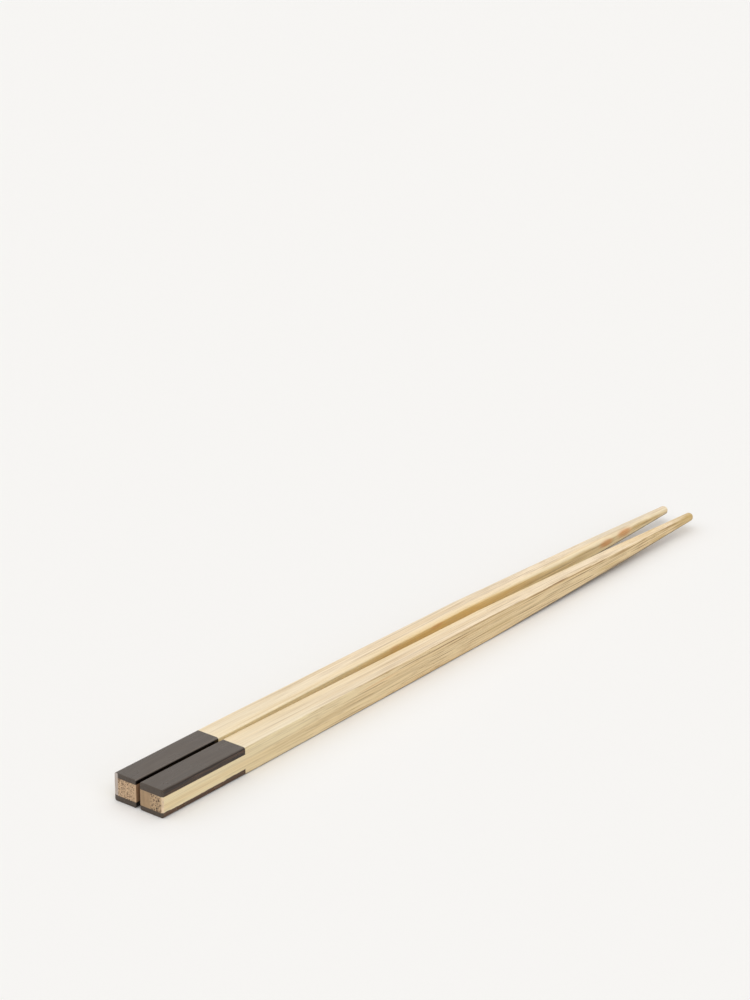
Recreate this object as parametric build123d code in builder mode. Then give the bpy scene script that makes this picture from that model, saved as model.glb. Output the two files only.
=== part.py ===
from build123d import *
import math
import os

# A pair of bamboo chopsticks lying side by side on a table, tips towards +Y.
# Each stick is a bamboo body with a dark strip let flush into the top and the underside of its handle end.
# The origin is on the table, under the middle of the pair. Millimetres, +Z up.

# The two sticks are cut by hand, so they differ a little in length and width and in how deep their strips lie.
right_length = 230.0
left_shortfall = 0.4  # how much the left stick ends before the right one's tip
left_width = 7.05
right_width = 7.5
left_top_thickness = 1.3
left_bottom_thickness = 1.6
right_top_thickness = 1.9
right_bottom_thickness = 1.4
handle_height = 7.6
handle_gap = 1.25  # between the two handles

# Lengths along a stick: the first three from its handle end, the last back from its tip
strip_length = 30.0
handle_length = 36.0  # where the sides leave the parallel handle
mid_station = 132.0  # where the top and the underside turn into the steeper taper
round_length = 36.0  # the stretch where the section turns round

# Sections past the handle
mid_width = 5.35
mid_height = 6.9
shaft_size = 4.5  # across the flats where the round stretch starts
tip_size = 2.3

# Corner and edge roundings
end_corner = 0.6  # the long edges are worn rounder towards the handle end
handle_corner = 0.5
mid_corner = 0.55
shaft_corner = 1.55
tip_corner = 1.0
handle_end_rounding = 0.25
tip_end_rounding = 0.9

# The outer upright corner of each handle end is sanded off to a flat, at an angle from the end's face.
left_sanded_width = 1.25
right_sanded_width = 0.7
left_sanded_angle = math.radians(8)
right_sanded_angle = math.radians(30)

left_length = right_length - left_shortfall

# A stick rests on its underside from the handle end to mid_station, so its axis dips a little towards the tip.
rest_dip = math.atan2((handle_height - mid_height) / 2, mid_station)
axis_height = handle_height / 2 * math.cos(rest_dip)
handle_end_y = -max(left_length, right_length) / 2 * math.cos(rest_dip)
taper_start_height = handle_height - 2 * handle_length * math.tan(rest_dip)

pair_width = left_width + handle_gap + right_width


def stick_axis(x):
    """The plane of a stick's handle end: its normal runs along the stick and its y axis points up."""
    return Plane(
        origin=(x, handle_end_y, axis_height),
        x_dir=(-1, 0, 0),
        z_dir=(0, math.cos(rest_dip), -math.sin(rest_dip)),
    )


def strip_seat(axis, side, thickness):
    """The floor of a rebate, parallel to the face above it: side is 1 for the top and -1 for the underside."""
    outer_face = Plane(
        origin=axis.from_local_coords((0, side * handle_height / 2, 0)),
        x_dir=axis.x_dir,
        z_dir=axis.y_dir * side * math.cos(rest_dip) + axis.z_dir * math.sin(rest_dip),
    )
    return outer_face.offset(-thickness)


def sanded_flat(axis, outward, width, flat_width, flat_angle):
    """The plane across the outer upright corner of a handle end, facing away from the wood."""
    return Plane(
        origin=axis.origin + outward * (width / 2 - flat_width * math.cos(flat_angle)),
        z_dir=outward * math.sin(flat_angle) - axis.z_dir * math.cos(flat_angle),
    )


def make_blank(axis, outward, length, width, flat_width, flat_angle):
    """The outer form of one stick, lofted from the square handle to the round tip."""
    sections = (
        (0, width, handle_height, end_corner),
        (handle_length, width, taper_start_height, handle_corner),
        (mid_station, mid_width, mid_height, mid_corner),
        (length - round_length, shaft_size, shaft_size, shaft_corner),
        (length, tip_size, tip_size, tip_corner),
    )
    with BuildPart() as blank:
        for station, section_width, section_height, corner in sections:
            with BuildSketch(axis.offset(station)):
                RectangleRounded(section_width, section_height, corner)
        loft(ruled=True)
        ends = blank.faces().sort_by(Axis.Y)
        fillet(ends[0].edges(), handle_end_rounding)
        fillet(ends[-1].edges(), tip_end_rounding)
        split(bisect_by=sanded_flat(axis, outward, width, flat_width, flat_angle), keep=Keep.BOTTOM)
    return blank.part


os.makedirs("parts", exist_ok=True)

sticks = (
    ("left", -1, left_length, left_width, left_top_thickness, left_bottom_thickness),
    ("right", 1, right_length, right_width, right_top_thickness, right_bottom_thickness),
)
sanded = {"left": (left_sanded_width, left_sanded_angle), "right": (right_sanded_width, right_sanded_angle)}

for name, side, length, width, top_thickness, bottom_thickness in sticks:
    axis = stick_axis(side * (pair_width - width) / 2)
    blank = make_blank(axis, Vector(side, 0, 0), length, width, *sanded[name])
    strip_end = axis.offset(strip_length)

    with BuildPart() as top_strip:
        add(blank)
        split(bisect_by=strip_seat(axis, 1, top_thickness), keep=Keep.TOP)
        split(bisect_by=strip_end, keep=Keep.BOTTOM)

    with BuildPart() as bottom_strip:
        add(blank)
        split(bisect_by=strip_seat(axis, -1, bottom_thickness), keep=Keep.TOP)
        split(bisect_by=strip_end, keep=Keep.BOTTOM)

    with BuildPart() as stick_body:
        add(blank)
        add(top_strip.part, mode=Mode.SUBTRACT)
        add(bottom_strip.part, mode=Mode.SUBTRACT)

    for piece, kind in ((top_strip, "top_strip"), (bottom_strip, "bottom_strip"), (stick_body, "stick_body")):
        piece.part.label = f"{name}_{kind}"
        export_step(piece.part, f"parts/{name}_{kind}.step")
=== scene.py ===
import math

import bpy
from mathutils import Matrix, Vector


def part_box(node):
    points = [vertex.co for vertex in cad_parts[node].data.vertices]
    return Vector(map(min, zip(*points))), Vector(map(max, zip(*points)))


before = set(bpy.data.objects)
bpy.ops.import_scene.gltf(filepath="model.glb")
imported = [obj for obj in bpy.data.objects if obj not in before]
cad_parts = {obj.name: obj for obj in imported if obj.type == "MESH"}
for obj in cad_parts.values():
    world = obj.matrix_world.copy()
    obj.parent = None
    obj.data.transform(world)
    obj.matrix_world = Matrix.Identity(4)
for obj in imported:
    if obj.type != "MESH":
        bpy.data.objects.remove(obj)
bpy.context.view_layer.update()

MM = 0.001  # metres in a millimetre


def srgb(red, green, blue):
    """A screen colour from 0 to 255 as the linear colour with alpha that shaders take."""
    def linear(value):
        share = value / 255
        return share / 12.92 if share <= 0.04045 else ((share + 0.055) / 1.055) ** 2.4
    return (linear(red), linear(green), linear(blue), 1.0)


# Colours, written as they look on a screen
FLOOR_COLOUR = srgb(247, 246, 244)
BACKDROP_COLOUR = srgb(246, 244, 242)

# the top near the handle, its paleness partly painted sheen
PALE_STRAW_AND_SHEEN = srgb(241, 225, 194)  # the top near the handle
HANDLE_SIDE = srgb(235, 218, 177)
# the top further on, paler than the sides partly as painted sheen
TOP_STRAW_AND_SHEEN = srgb(247, 227, 195)
SIDE_STRAW = srgb(232, 208, 163)
# painted light: the sides that face the other stick are painted paler to lift their shade
INNER_STRAW_AND_LIGHT = srgb(250, 233, 190)  # the sides that face the other stick
GOLD = srgb(222, 190, 134)
WARM_STRAW = srgb(246, 221, 168)
# painted highlight on the inner top edges
EDGE_HIGHLIGHT_PALE = srgb(252, 238, 208)
# painted contact shade on the lower edges
CONTACT_SHADE_DARK = srgb(104, 80, 52)
FIBRE_BROWN = srgb(152, 118, 70)
STREAK_BROWN = srgb(124, 87, 46)
GLUE_BROWN = srgb(70, 52, 39)
# painted shade for the inner sides in the narrow gap at the handle end
GAP_SHADE_BROWN = srgb(134, 95, 67)

STRIP_BROWN = srgb(64, 53, 42)
STRIP_STREAK = srgb(73, 61, 49)
STRIP_FLANK = srgb(32, 20, 12)
# painted highlight on the strips' inner top edges
STRIP_EDGE_HIGHLIGHT = srgb(132, 122, 114)
STRIP_END = srgb(82, 72, 64)
STRIP_WORN = srgb(115, 82, 56)
# the black of the pores, and painted shade on the strips' inner sides
STRIP_PORES_AND_SHADE_BLACK = srgb(10, 6, 4)

# The kinds of marks on the sticks, each painted over the ones before it
MARK_COLOURS = {
    "cream": srgb(220, 205, 178),
    "ochre": srgb(234, 196, 122),
    "olive": srgb(196, 166, 106),
    "red": srgb(214, 150, 92),
    "brown": STREAK_BROWN,
}
MARK_SLOPE = 0.006  # how much a fibre on the taper sinks for each millimetre towards the tip

# What differs between the sticks. Millimetres, X from the stick's own middle, Y and Z as in the frame.
# A mark is the middle of a soft ellipsoid, its half sizes and its strength.
STICKS = {
    "left": {
        "outward": -1,
        "stained": False,
        "shift": (41.0, 310.0, 23.0),  # where this stick's grain is cut from
        "bundle_spacing": 0.5,
        "bundle_radius": 0.16,
        "bundles_from": 3.0,  # the vascular bundles lie on the -X side of this
        "bundles_towards": -1,
        "end_colours": (srgb(210, 178, 141), srgb(209, 177, 140), srgb(90, 57, 30)),
        # the sanded band's colour, partly a painted highlight where it catches the light
        "sanded_highlight_colour": srgb(190, 180, 173),
        "sanded_width": 1.15,
        "sanded_strip": 1.0,  # how far the top strip's corner takes that colour
        "brown": (
            ((2.4, 60.0, 4.3), (1.2, 14.0, 0.16), 0.5),
            ((2.2, 76.0, 4.7), (1.2, 9.0, 0.15), 0.5),
            ((-0.8, 10.0, 6.7), (0.16, 22.0, 1.0), 0.3),
            ((0.9, 52.0, 6.2), (0.15, 16.0, 1.0), 0.35),
            ((1.8, 103.0, 4.0), (1.0, 4.0, 0.5), 0.5),
        ),
        "red": (
            ((2.3, 82.0, 4.4), (1.6, 4.8, 1.4), 0.85),
            ((2.0, 91.5, 4.6), (1.6, 5.0, 1.6), 0.85),
            ((2.8, -14.5, 6.3), (1.0, 3.0, 0.7), 0.4),
            ((2.7, 3.5, 6.2), (1.0, 4.0, 0.8), 0.5),
        ),
        "ochre": (
            ((3.0, 12.0, 5.4), (1.3, 60.0, 2.8), 0.9),
        ),
        "olive": (
            ((1.6, 99.0, 4.4), (1.3, 7.0, 0.9), 0.7),
            ((1.0, 106.0, 3.9), (1.6, 6.0, 0.8), 0.7),
            ((1.9, 70.0, 5.0), (1.2, 8.0, 0.8), 0.5),
            ((2.4, 92.0, 4.4), (1.3, 26.0, 1.3), 0.2),
        ),
        "cream": (
            ((-2.6, 35.0, 6.8), (2.0, 80.0, 2.2), 0.55),
            ((-0.2, 93.0, 5.7), (2.0, 34.0, 1.4), 0.8),
        ),
    },
    "right": {
        "outward": 1,
        "stained": True,
        "shift": (0.0, 0.0, 0.0),
        "bundle_spacing": 0.66,
        "bundle_radius": 0.22,
        "bundles_from": -0.4,
        "bundles_towards": 1,
        "end_colours": (srgb(171, 141, 106), srgb(194, 164, 127), srgb(70, 46, 24)),
        # the sanded band's colour, partly a painted highlight where it catches the light
        "sanded_highlight_colour": srgb(232, 207, 174),
        "sanded_width": 0.5,
        "sanded_strip": 0.0,
        "brown": (
            ((3.0, -1.0, 5.85), (1.3, 18.0, 0.2), 1.0),
            ((3.1, -14.0, 2.95), (1.3, 6.0, 0.13), 0.5),
            ((3.0, -6.0, 2.45), (1.3, 8.0, 0.14), 0.5),
            ((3.2, -27.0, 2.05), (1.3, 7.0, 0.13), 0.45),
            ((3.1, -16.0, 1.55), (1.3, 10.0, 0.13), 0.45),
            ((2.3, 44.0, 6.25), (1.2, 14.0, 0.17), 0.9),
            ((2.6, 35.0, 5.7), (1.2, 7.0, 0.14), 0.9),
            ((2.6, 56.0, 5.35), (1.2, 13.0, 0.15), 0.9),
            ((2.6, 33.0, 4.7), (1.2, 6.0, 0.15), 0.8),
            ((2.6, 46.0, 4.3), (1.2, 8.0, 0.15), 0.8),
            ((2.7, 33.0, 3.2), (1.2, 7.0, 0.17), 0.7),
            ((2.5, 52.0, 3.3), (1.2, 8.0, 0.17), 0.7),
            ((2.3, 72.0, 4.2), (1.2, 9.0, 0.14), 0.5),
            ((2.0, 86.0, 5.25), (1.2, 7.0, 0.14), 0.9),
            ((2.1, 88.0, 4.7), (1.2, 6.0, 0.13), 0.7),
            ((1.8, 98.0, 4.6), (1.0, 8.0, 0.13), 0.6),
            ((1.4, 106.0, 4.0), (1.0, 6.0, 0.13), 0.6),
            ((0.7, -66.0, 7.1), (0.14, 20.0, 1.0), 0.35),
        ),
        "red": (
            ((3.2, -32.0, 5.3), (1.2, 11.0, 0.5), 0.25),
        ),
        "ochre": (
            ((0.0, 92.0, 5.9), (1.9, 28.0, 1.3), 0.4),
        ),
        "olive": (
            ((0.3, 113.0, 4.1), (2.4, 14.0, 2.2), 1.0),
            ((1.6, 96.0, 3.4), (1.4, 6.0, 0.8), 0.6),
            ((2.4, 71.0, 3.4), (1.4, 9.0, 0.8), 0.5),
            ((2.6, 20.0, 3.2), (1.4, 12.0, 1.2), 0.35),
            ((3.7, -100.0, 5.6), (0.6, 5.0, 0.3), 0.6),
        ),
        "cream": (),
    },
}

# Grain, in ripples a millimetre along X, Y and Z
GRAIN_WANDER = (0.05, 0.015, 0.05)
BROAD_GRAIN = (0.5, 0.012, 0.5)
MEDIUM_GRAIN = (2.2, 0.022, 2.2)
FINE_GRAIN = (6.0, 0.06, 6.0)
LINE_GRAIN = (2.3, 0.016, 2.3)
END_GRAIN = (1.6, 0.1, 0.5)
GLUE_GRAIN = (0.3, 0.5, 0.3)
STRIP_CLOUD = (0.3, 0.1, 0.3)
STRIP_MEDIUM = (1.6, 0.06, 1.6)
STRIP_FINE = (5.0, 0.12, 5.0)
STRIP_PORES = (2.4, 0.1, 2.4)
NOISE_MIDDLE = 0.5
LINE_WIDTH = 0.02  # how near to its middle a noise draws a line
WANDER_REACH = (0.6, 0.0, 0.6)  # millimetres

# Vascular bundles
BUNDLE_RANDOMNESS = 0.8
SMALLEST_BUNDLE = 0.7  # times the stick's bundle radius
LARGEST_BUNDLE = 1.35
STREAK_RIPPLES = 0.045  # a millimetre
STREAKS_APART = 90.0  # keeps the streaks of neighbouring bundles from lining up

# Stretches along Y, in millimetres, from where a change starts to where it is complete
LESS_PALE = (-80.0, -10.0)
CLEARER_GRAIN = (-95.0, -35.0)
MORE_STREAKS = (-80.0, -10.0)
WARMER_BAND = (-70.0, 10.0)
# where the painted shade in the narrow gap is full and where it fades out
GAP_SHADE_SPAN = (-95.0, -108.0)
GLUE_AT_END = (-110.5, -113.5)
GLUE_AT_FAR_HALF = (-93.5, -91.5)
GLUE_STOPS = (-84.85, -85.15)  # where the strips end
LOWER_STRIP_TOP = 1.4  # millimetres above the table, under the glue

# Finish
BAMBOO_ROUGHNESS = (0.44, 0.56)
BAMBOO_RELIEF = 0.02  # millimetres
BUNDLE_DEPTH = 0.6  # times that relief
STRIP_ROUGHNESS = (0.24, 0.36)
STRIP_SPECULAR = 0.36
STRIP_RELIEF = 0.003
FLOOR_ROUGHNESS = 0.9

# Sockets of a Mix node that mixes colours
MIX_SHARE = 0
MIX_FIRST = 6
MIX_SECOND = 7
MIX_RESULT = 2


# Node helpers

def link(tree, socket, value):
    """Joins an output to an input socket, or sets a plain value on it."""
    if isinstance(value, bpy.types.NodeSocket):
        tree.links.new(value, socket)
    else:
        socket.default_value = value


def add(tree, kind, inputs=None, **settings):
    """A new node with its settings and inputs."""
    made = tree.nodes.new(kind)
    for name, value in settings.items():
        setattr(made, name, value)
    for name, value in (inputs or {}).items():
        link(tree, made.inputs[name], value)
    return made


def calc(tree, operation, first, second=0.0):
    """The result of a math node."""
    return add(tree, "ShaderNodeMath", {0: first, 1: second}, operation=operation).outputs[0]


def times(tree, first, *others):
    """The product of two or more values."""
    for other in others:
        first = calc(tree, "MULTIPLY", first, other)
    return first


def vector_calc(tree, operation, first, second=(0, 0, 0)):
    """The result of a vector math node."""
    made = add(tree, "ShaderNodeVectorMath", {0: first, 1: second}, operation=operation)
    return made.outputs["Value" if operation == "LENGTH" else "Vector"]


def split_up(tree, vector):
    """The three parts of a vector."""
    return add(tree, "ShaderNodeSeparateXYZ", {"Vector": vector}).outputs


def put_together(tree, x=0.0, y=0.0, z=0.0):
    """A vector from its three parts."""
    return add(tree, "ShaderNodeCombineXYZ", {"X": x, "Y": y, "Z": z}).outputs["Vector"]


def fade(tree, value, start, end, low=0.0, high=1.0):
    """Goes smoothly from low, where the value is start, to high, where it is end."""
    inputs = {"Value": value, "From Min": start, "From Max": end, "To Min": low, "To Max": high}
    return add(tree, "ShaderNodeMapRange", inputs, interpolation_type="SMOOTHSTEP").outputs["Result"]


def mix(tree, share, first, second):
    """Two colours mixed by a share."""
    made = add(tree, "ShaderNodeMix", data_type="RGBA")
    link(tree, made.inputs[MIX_SHARE], share)
    link(tree, made.inputs[MIX_FIRST], first)
    link(tree, made.inputs[MIX_SECOND], second)
    return made.outputs[MIX_RESULT]


def noise(tree, vector, scale, detail=2.0, output="Fac"):
    """Noise about its middle, with scale in ripples a millimetre along X, Y and Z."""
    stretched = vector_calc(tree, "MULTIPLY", vector, scale)
    inputs = {"Vector": stretched, "Scale": 1.0, "Detail": detail}
    return add(tree, "ShaderNodeTexNoise", inputs).outputs[output]


def fine_lines(tree, vector, scale):
    """Thin lines where a stretched noise crosses its middle."""
    from_middle = calc(tree, "SUBTRACT", noise(tree, vector, scale), NOISE_MIDDLE)
    return fade(tree, calc(tree, "ABSOLUTE", from_middle), LINE_WIDTH, 0.0)


def new_material(name):
    """A new node material with its tree and shader."""
    material = bpy.data.materials.new(name)
    material.use_nodes = True
    tree = material.node_tree
    return material, tree, tree.nodes["Principled BSDF"]


def place_on_stick(tree, traits):
    """The place in millimetres, with X from the stick's own middle."""
    place = add(tree, "ShaderNodeTexCoord").outputs["Object"]
    place = vector_calc(tree, "MULTIPLY", place, (1 / MM,) * 3)
    return vector_calc(tree, "ADD", place, (-traits["middle"], 0, 0))


def surface_normal(tree):
    """The parts of the surface's direction in the object's own frame."""
    return split_up(tree, add(tree, "ShaderNodeTexCoord").outputs["Normal"])


def marks(tree, place, rows):
    """How strongly soft ellipsoids colour a place."""
    total = 0.0
    for middle, half, strength in rows:
        offset = vector_calc(tree, "SUBTRACT", place, middle)
        reach = vector_calc(tree, "LENGTH", vector_calc(tree, "DIVIDE", offset, half))
        total = calc(tree, "MAXIMUM", total, fade(tree, reach, 1.0, 0.3, 0.0, strength))
    return total


def bump(tree, height, depth):
    """A normal for a relief that many millimetres deep."""
    return add(tree, "ShaderNodeBump", {"Height": height, "Distance": depth * MM}).outputs["Normal"]


# Materials. In each fade the first two numbers are where it starts and ends, and the next two are its levels.
# A part of a normal goes from -1 to 1. A stick's lean is 1 on its outer side and -1 on its inner side.

def sawn_end(tree, normal_y):
    """The face of the handle end."""
    return fade(tree, normal_y, -0.6, -0.8)


def sanded_corner(tree, x, traits):
    """The band at the outer side of the handle end, where x is from the stick's middle."""
    edge = traits["half_width"] - traits["sanded_width"]
    return fade(tree, times(tree, x, traits["outward"]), edge - 0.3, edge + 0.25)


def glue_stain(tree, grain, y, z, normal_x):
    """Dark glue drawn up the side above the lower strip: a little at the end, more at the far half."""
    rise = fade(tree, y, *GLUE_AT_FAR_HALF, 0.0, 0.24)
    rise = calc(tree, "ADD", rise, fade(tree, y, *GLUE_AT_END, 0.0, 0.1))
    rise = calc(tree, "ADD", rise, fade(tree, noise(tree, grain, GLUE_GRAIN), 0.3, 0.7, -0.08, 0.1))
    above = calc(tree, "SUBTRACT", calc(tree, "SUBTRACT", z, LOWER_STRIP_TOP), rise)
    on_side = times(tree, fade(tree, normal_x, 0.4, 0.6), fade(tree, y, *GLUE_STOPS))
    return times(tree, fade(tree, above, 0.07, -0.05), on_side)


def wandering_grain(tree, place, traits):
    """Where the grain of a place is read: it wanders a little on its way along the stick."""
    grain = vector_calc(tree, "ADD", place, traits["shift"])
    ripple = noise(tree, grain, GRAIN_WANDER, 1.0, "Color")
    wander = vector_calc(tree, "SUBTRACT", ripple, (NOISE_MIDDLE,) * 3)
    return vector_calc(tree, "ADD", grain, vector_calc(tree, "MULTIPLY", wander, WANDER_REACH))


def vascular_bundles(tree, grain, x, traits):
    """The bundles as dots across the grain and as streaks along it, the zone they lie in, and their tones."""
    grain_x, grain_y, grain_z = split_up(tree, grain)
    spacing = traits["bundle_spacing"]
    across = put_together(tree, grain_x, grain_z)
    inputs = {"Vector": across, "Scale": 1 / spacing, "Randomness": BUNDLE_RANDOMNESS}
    cells = add(tree, "ShaderNodeTexVoronoi", inputs, voronoi_dimensions="2D").outputs
    cell_size, cell_phase, cell_tone = split_up(tree, cells["Color"])

    # Dots, each with its own radius
    smallest = SMALLEST_BUNDLE * traits["bundle_radius"]
    largest = LARGEST_BUNDLE * traits["bundle_radius"]
    radius = fade(tree, cell_size, 0.0, 1.0, smallest, largest)
    distance = times(tree, cells["Distance"], spacing)
    into_zone = times(tree, calc(tree, "SUBTRACT", x, traits["bundles_from"]), traits["bundles_towards"])
    zone = fade(tree, into_zone, -0.5, 0.5)
    dots = times(tree, fade(tree, calc(tree, "SUBTRACT", radius, distance), -0.06, 0.06), zone)

    # Short thin streaks, with stretches where a bundle doesn't show
    phase = times(tree, cell_phase, STREAKS_APART)
    phase = calc(tree, "ADD", times(tree, grain_y, STREAK_RIPPLES), phase)
    inputs = {"W": phase, "Scale": 1.0, "Detail": 1.0}
    stretch = add(tree, "ShaderNodeTexNoise", inputs, noise_dimensions="1D").outputs["Fac"]
    streaks = times(tree, fade(tree, distance, 0.14, 0.06), fade(tree, stretch, 0.44, 0.56))
    return dots, streaks, zone, cell_tone


def bamboo(stick, traits):
    """Split bamboo: fibres and vascular bundles run along Y, and show as dots on the sawn end."""
    material, tree, shader = new_material(f"bamboo_{stick}")
    place = place_on_stick(tree, traits)
    x, y, z = split_up(tree, place)
    normal_x, normal_y, normal_z = surface_normal(tree)
    lean = times(tree, normal_x, traits["outward"])

    grain = wandering_grain(tree, place, traits)
    dots, streaks, zone, dot_tone = vascular_bundles(tree, grain, x, traits)
    fine = noise(tree, grain, FINE_GRAIN, 3.0)
    medium = noise(tree, grain, MEDIUM_GRAIN, 3.0)
    broad = noise(tree, grain, BROAD_GRAIN)
    lines = fine_lines(tree, grain, LINE_GRAIN)

    # Paler near the handle and warmer on the sides than on the top, where the paler top is partly painted
    # sheen; palest on the inner sides, as painted light in their shade
    sideways = fade(tree, calc(tree, "ABSOLUTE", normal_x), 0.5, 0.7)
    near_handle = mix(tree, sideways, PALE_STRAW_AND_SHEEN, HANDLE_SIDE)
    further_on = mix(tree, sideways, TOP_STRAW_AND_SHEEN, SIDE_STRAW)
    colour = mix(tree, fade(tree, y, *LESS_PALE), near_handle, further_on)
    colour = mix(tree, fade(tree, lean, -0.35, -0.75, 0.0, 0.9), colour, INNER_STRAW_AND_LIGHT)
    colour = mix(tree, fade(tree, broad, 0.4, 0.7, 0.0, 0.4), colour, GOLD)

    # Fibres: calmer near the handle, with more lines and streaks on the outer side
    clarity = fade(tree, y, *CLEARER_GRAIN, 0.45, 1.0)
    medium_level = times(tree, fade(tree, medium, 0.45, 0.72, 0.0, 0.4), clarity)
    colour = mix(tree, medium_level, colour, FIBRE_BROWN)
    fine_level = times(tree, fade(tree, fine, 0.48, 0.72, 0.0, 0.42), clarity)
    colour = mix(tree, fine_level, colour, FIBRE_BROWN)
    outer = fade(tree, lean, 0.0, 0.7)
    line_level = times(tree, fade(tree, outer, 0.0, 1.0, 0.3, 0.6), clarity)
    colour = mix(tree, times(tree, lines, line_level), colour, FIBRE_BROWN)
    streak_level = fade(tree, outer, 0.0, 1.0, 0.2, 0.8)
    streak_level = times(tree, streak_level, fade(tree, y, *MORE_STREAKS, 0.3, 1.0))
    colour = mix(tree, times(tree, streaks, streak_level), colour, STREAK_BROWN)

    # A broken dark line along the outer top edge
    edge_line = times(tree, fade(tree, lean, 0.5, 0.7), fade(tree, lean, 0.97, 0.85))
    edge_line = times(tree, edge_line, fade(tree, normal_z, 0.1, 0.3))
    edge_line = times(tree, edge_line, fade(tree, medium, 0.4, 0.6, 0.05, 0.7))
    colour = mix(tree, edge_line, colour, FIBRE_BROWN)

    # A warm band beside the inner top edge
    from_middle = times(tree, x, -traits["outward"])
    band = times(tree, fade(tree, from_middle, 0.4, 2.0, 0.0, 0.55), fade(tree, normal_z, 0.5, 0.8))
    band = times(tree, band, fade(tree, broad, 0.3, 0.6, 0.4, 1.0))
    band = times(tree, band, fade(tree, y, *WARMER_BAND, 0.3, 0.9))
    colour = mix(tree, band, colour, WARM_STRAW)

    # Painted highlight: the inner top edges are painted pale where they catch the light. Painted shade: the
    # lower edges are painted dark where they meet the table
    painted_edge_highlight = times(tree, fade(tree, lean, -0.3, -0.6), fade(tree, normal_z, 0.2, 0.5, 0.0, 0.6))
    colour = mix(tree, painted_edge_highlight, colour, EDGE_HIGHLIGHT_PALE)
    colour = mix(tree, fade(tree, normal_z, -0.1, -0.5, 0.0, 0.8), colour, CONTACT_SHADE_DARK)

    # Painted shade: the inner sides are darkened in the narrow gap at the handle end, where shadow falls
    gap_shade = times(tree, fade(tree, lean, -0.6, -0.85), fade(tree, y, *GAP_SHADE_SPAN, 0.0, 0.9))
    colour = mix(tree, gap_shade, colour, GAP_SHADE_BROWN)

    # Marks of this very stick: they follow the taper, and fine fibres break them up
    sunk = calc(tree, "ADD", z, times(tree, y, MARK_SLOPE))
    mark_place = put_together(tree, x, y, sunk)
    broken = fade(tree, fine, 0.25, 0.6, 0.45, 1.0)
    for kind, tint in MARK_COLOURS.items():
        mark_level = times(tree, marks(tree, mark_place, traits[kind]), broken)
        colour = mix(tree, mark_level, colour, tint)

    # The sawn end: plain wood on one side and wood full of bundles on the other
    plain, bundled, dot_colour = traits["end_colours"]
    end_tone = noise(tree, grain, END_GRAIN, 3.0)
    end_colour = mix(tree, zone, plain, bundled)
    end_colour = mix(tree, fade(tree, end_tone, 0.4, 0.75, 0.0, 0.3), end_colour, dot_colour)
    dot_level = times(tree, dots, fade(tree, dot_tone, 0.0, 1.0, 0.45, 0.95))
    end_colour = mix(tree, dot_level, end_colour, dot_colour)
    end = sawn_end(tree, normal_y)
    colour = mix(tree, end, colour, end_colour)

    # Its sanded corner, painted pale partly as a painted highlight, and glue on the side
    sanded = times(tree, end, sanded_corner(tree, x, traits))
    sanded = times(tree, sanded, fade(tree, end_tone, 0.35, 0.65, 1.0, 0.7))
    colour = mix(tree, sanded, colour, traits["sanded_highlight_colour"])
    if traits["stained"]:
        colour = mix(tree, glue_stain(tree, grain, y, z, normal_x), colour, GLUE_BROWN)

    link(tree, shader.inputs["Base Color"], colour)
    link(tree, shader.inputs["Roughness"], fade(tree, fine, 0.3, 0.7, *BAMBOO_ROUGHNESS))
    relief = calc(tree, "SUBTRACT", fine, times(tree, dots, BUNDLE_DEPTH))
    link(tree, shader.inputs["Normal"], bump(tree, relief, BAMBOO_RELIEF))
    return material


def dark_wood(stick, traits):
    """Dark close-grained wood with a satin finish, browner on its flanks, with a painted highlight on its
    inner top edges and painted shade that makes it nearly black in the gap.
    """
    material, tree, shader = new_material(f"dark_wood_{stick}")
    place = place_on_stick(tree, traits)
    x, _, z = split_up(tree, place)
    normal_x, normal_y, normal_z = surface_normal(tree)
    lean = times(tree, normal_x, traits["outward"])

    grain = vector_calc(tree, "ADD", place, traits["shift"])
    fine = noise(tree, grain, STRIP_FINE, 3.0)
    medium = noise(tree, grain, STRIP_MEDIUM, 3.0)
    cloud = noise(tree, grain, STRIP_CLOUD)
    pores = fine_lines(tree, grain, STRIP_PORES)
    colour = mix(tree, fade(tree, medium, 0.4, 0.7), STRIP_BROWN, STRIP_STREAK)
    colour = mix(tree, times(tree, pores, 0.1), colour, STRIP_PORES_AND_SHADE_BLACK)

    # The outer flanks are brown where they are worn, most of all on the lower strip
    worn = fade(tree, fine, 0.4, 0.75, 0.0, 0.45)
    worn = calc(tree, "ADD", worn, fade(tree, z, 3.5, 2.5, 0.0, 0.3))
    flank_colour = mix(tree, worn, STRIP_FLANK, STRIP_WORN)
    colour = mix(tree, fade(tree, lean, 0.45, 0.85), colour, flank_colour)

    # The inner top edges get a painted grey highlight, and the inner sides are painted nearly black as
    # painted shade
    strip_highlight = times(tree, fade(tree, lean, -0.15, -0.4), fade(tree, normal_z, 0.3, 0.7, 0.0, 0.4))
    colour = mix(tree, strip_highlight, colour, STRIP_EDGE_HIGHLIGHT)
    inner_shade_colour = mix(tree, fade(tree, lean, -0.3, -0.8), colour, STRIP_PORES_AND_SHADE_BLACK)
    colour = mix(tree, fade(tree, normal_z, 0.6, 0.3), colour, inner_shade_colour)

    # The sawn end and its sanded corner, painted pale partly as a painted highlight
    end = sawn_end(tree, normal_y)
    colour = mix(tree, times(tree, end, fade(tree, fine, 0.3, 0.7, 0.2, 0.8)), colour, STRIP_END)
    sanded = times(tree, end, sanded_corner(tree, x, traits))
    sanded = times(tree, sanded, fade(tree, z, 3.0, 4.0, 0.0, traits["sanded_strip"]))
    colour = mix(tree, sanded, colour, traits["sanded_highlight_colour"])

    link(tree, shader.inputs["Base Color"], colour)
    link(tree, shader.inputs["Roughness"], fade(tree, cloud, 0.3, 0.7, *STRIP_ROUGHNESS))
    shader.inputs["Specular IOR Level"].default_value = STRIP_SPECULAR
    link(tree, shader.inputs["Normal"], bump(tree, calc(tree, "ADD", fine, pores), STRIP_RELIEF))
    return material


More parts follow.
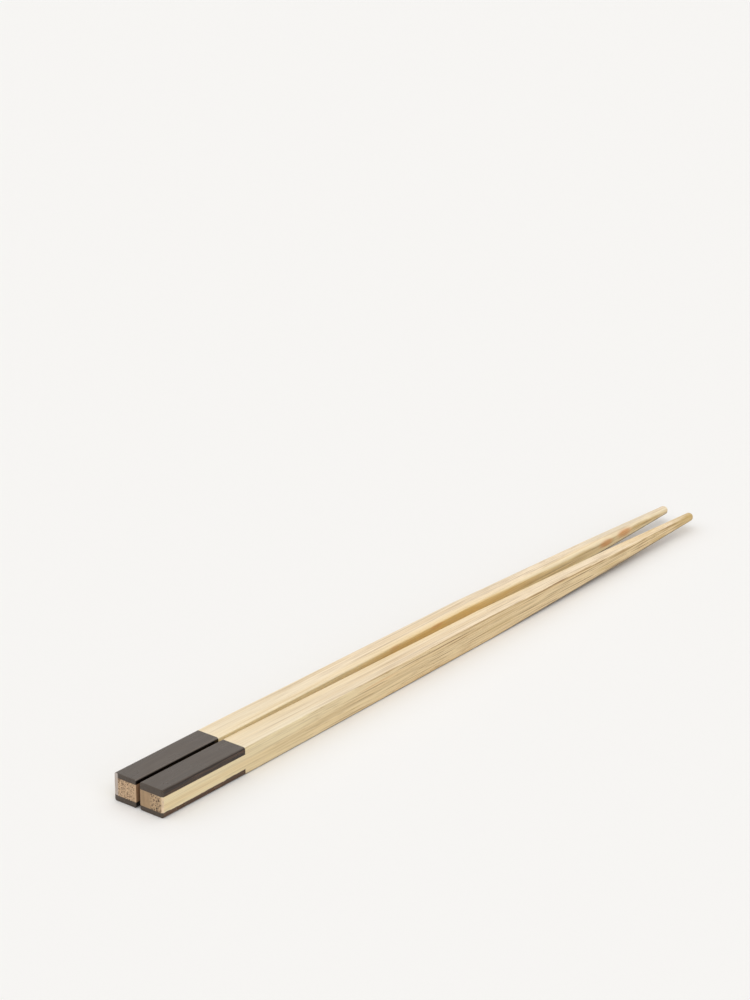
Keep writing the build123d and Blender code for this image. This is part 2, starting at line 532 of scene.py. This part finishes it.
def cover(node, material):
    """Gives a CAD node its material."""
    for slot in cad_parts[node].material_slots:
        slot.material = material


for stick, traits in STICKS.items():
    low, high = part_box(f"{stick}_stick_body")
    traits["middle"] = (low.x + high.x) / 2 / MM
    traits["half_width"] = (high.x - low.x) / 2 / MM
    cover(f"{stick}_stick_body", bamboo(stick, traits))
    strip_material = dark_wood(stick, traits)
    cover(f"{stick}_top_strip", strip_material)
    cover(f"{stick}_bottom_strip", strip_material)


# Floor: a wide pale sheet
FLOOR_HALF = 6.0


def make_floor():
    mesh = bpy.data.meshes.new("floor")
    corners = [(x * FLOOR_HALF, y * FLOOR_HALF, 0) for x, y in ((-1, -1), (1, -1), (1, 1), (-1, 1))]
    mesh.from_pydata(corners, [], [(0, 1, 2, 3)])
    material, _, shader = new_material("pale_floor")
    shader.inputs["Base Color"].default_value = FLOOR_COLOUR
    shader.inputs["Roughness"].default_value = FLOOR_ROUGHNESS
    shader.inputs["Specular IOR Level"].default_value = 0.0
    mesh.materials.append(material)
    floor = bpy.data.objects.new("floor", mesh)
    bpy.context.scene.collection.objects.link(floor)


make_floor()


# Light: a broad soft lamp overhead and a weaker one from the right, in a dim room
# A row is where a lamp shines from, its spread and how bright it makes a white sheet that faces it.
LAMPS = {
    "overhead": (Vector((-0.15, -0.1, 1.0)), math.radians(120), 0.66),
    "right": (Vector((1.0, -0.4, 0.5)), math.radians(60), 0.26),
}
ROOM_LEVEL = 0.26


def make_lamp(name, shines_from, spread, level):
    data = bpy.data.lights.new(name, "SUN")
    data.energy = level * math.pi
    data.angle = spread
    lamp = bpy.data.objects.new(name, data)
    lamp.rotation_euler = (-shines_from).to_track_quat("-Z", "Y").to_euler()
    bpy.context.scene.collection.objects.link(lamp)


def make_room():
    world = bpy.data.worlds.new("room")
    bpy.context.scene.world = world
    world.use_nodes = True
    tree = world.node_tree
    tree.nodes.clear()
    path = add(tree, "ShaderNodeLightPath").outputs
    seen = calc(tree, "MAXIMUM", path["Is Camera Ray"], path["Is Glossy Ray"])
    seen = calc(tree, "MAXIMUM", seen, path["Is Transmission Ray"])
    level = fade(tree, seen, 0.0, 1.0, ROOM_LEVEL, 1.0)
    background = add(tree, "ShaderNodeBackground", {"Color": BACKDROP_COLOUR, "Strength": level})
    add(tree, "ShaderNodeOutputWorld", {"Surface": background.outputs["Background"]})


for name, row in LAMPS.items():
    make_lamp(name, *row)
make_room()


# Camera: the place and aim that fit the photograph's 750 by 1000 frame
CAMERA_PLACE = Vector((500.53, -644.14, 378.48)) * MM
CAMERA_AZIMUTH = math.radians(38.937)
CAMERA_PITCH = math.radians(22.311)
CAMERA_LENS = 122.04
CAMERA_SENSOR = 36.0


def make_camera():
    data = bpy.data.cameras.new("camera")
    data.lens = CAMERA_LENS
    data.sensor_width = CAMERA_SENSOR
    camera = bpy.data.objects.new("camera", data)
    camera.location = CAMERA_PLACE
    camera.rotation_euler = (math.pi / 2 - CAMERA_PITCH, 0, CAMERA_AZIMUTH)
    bpy.context.scene.collection.objects.link(camera)
    bpy.context.scene.camera = camera


make_camera()
bpy.context.scene.view_settings.view_transform = "Standard"
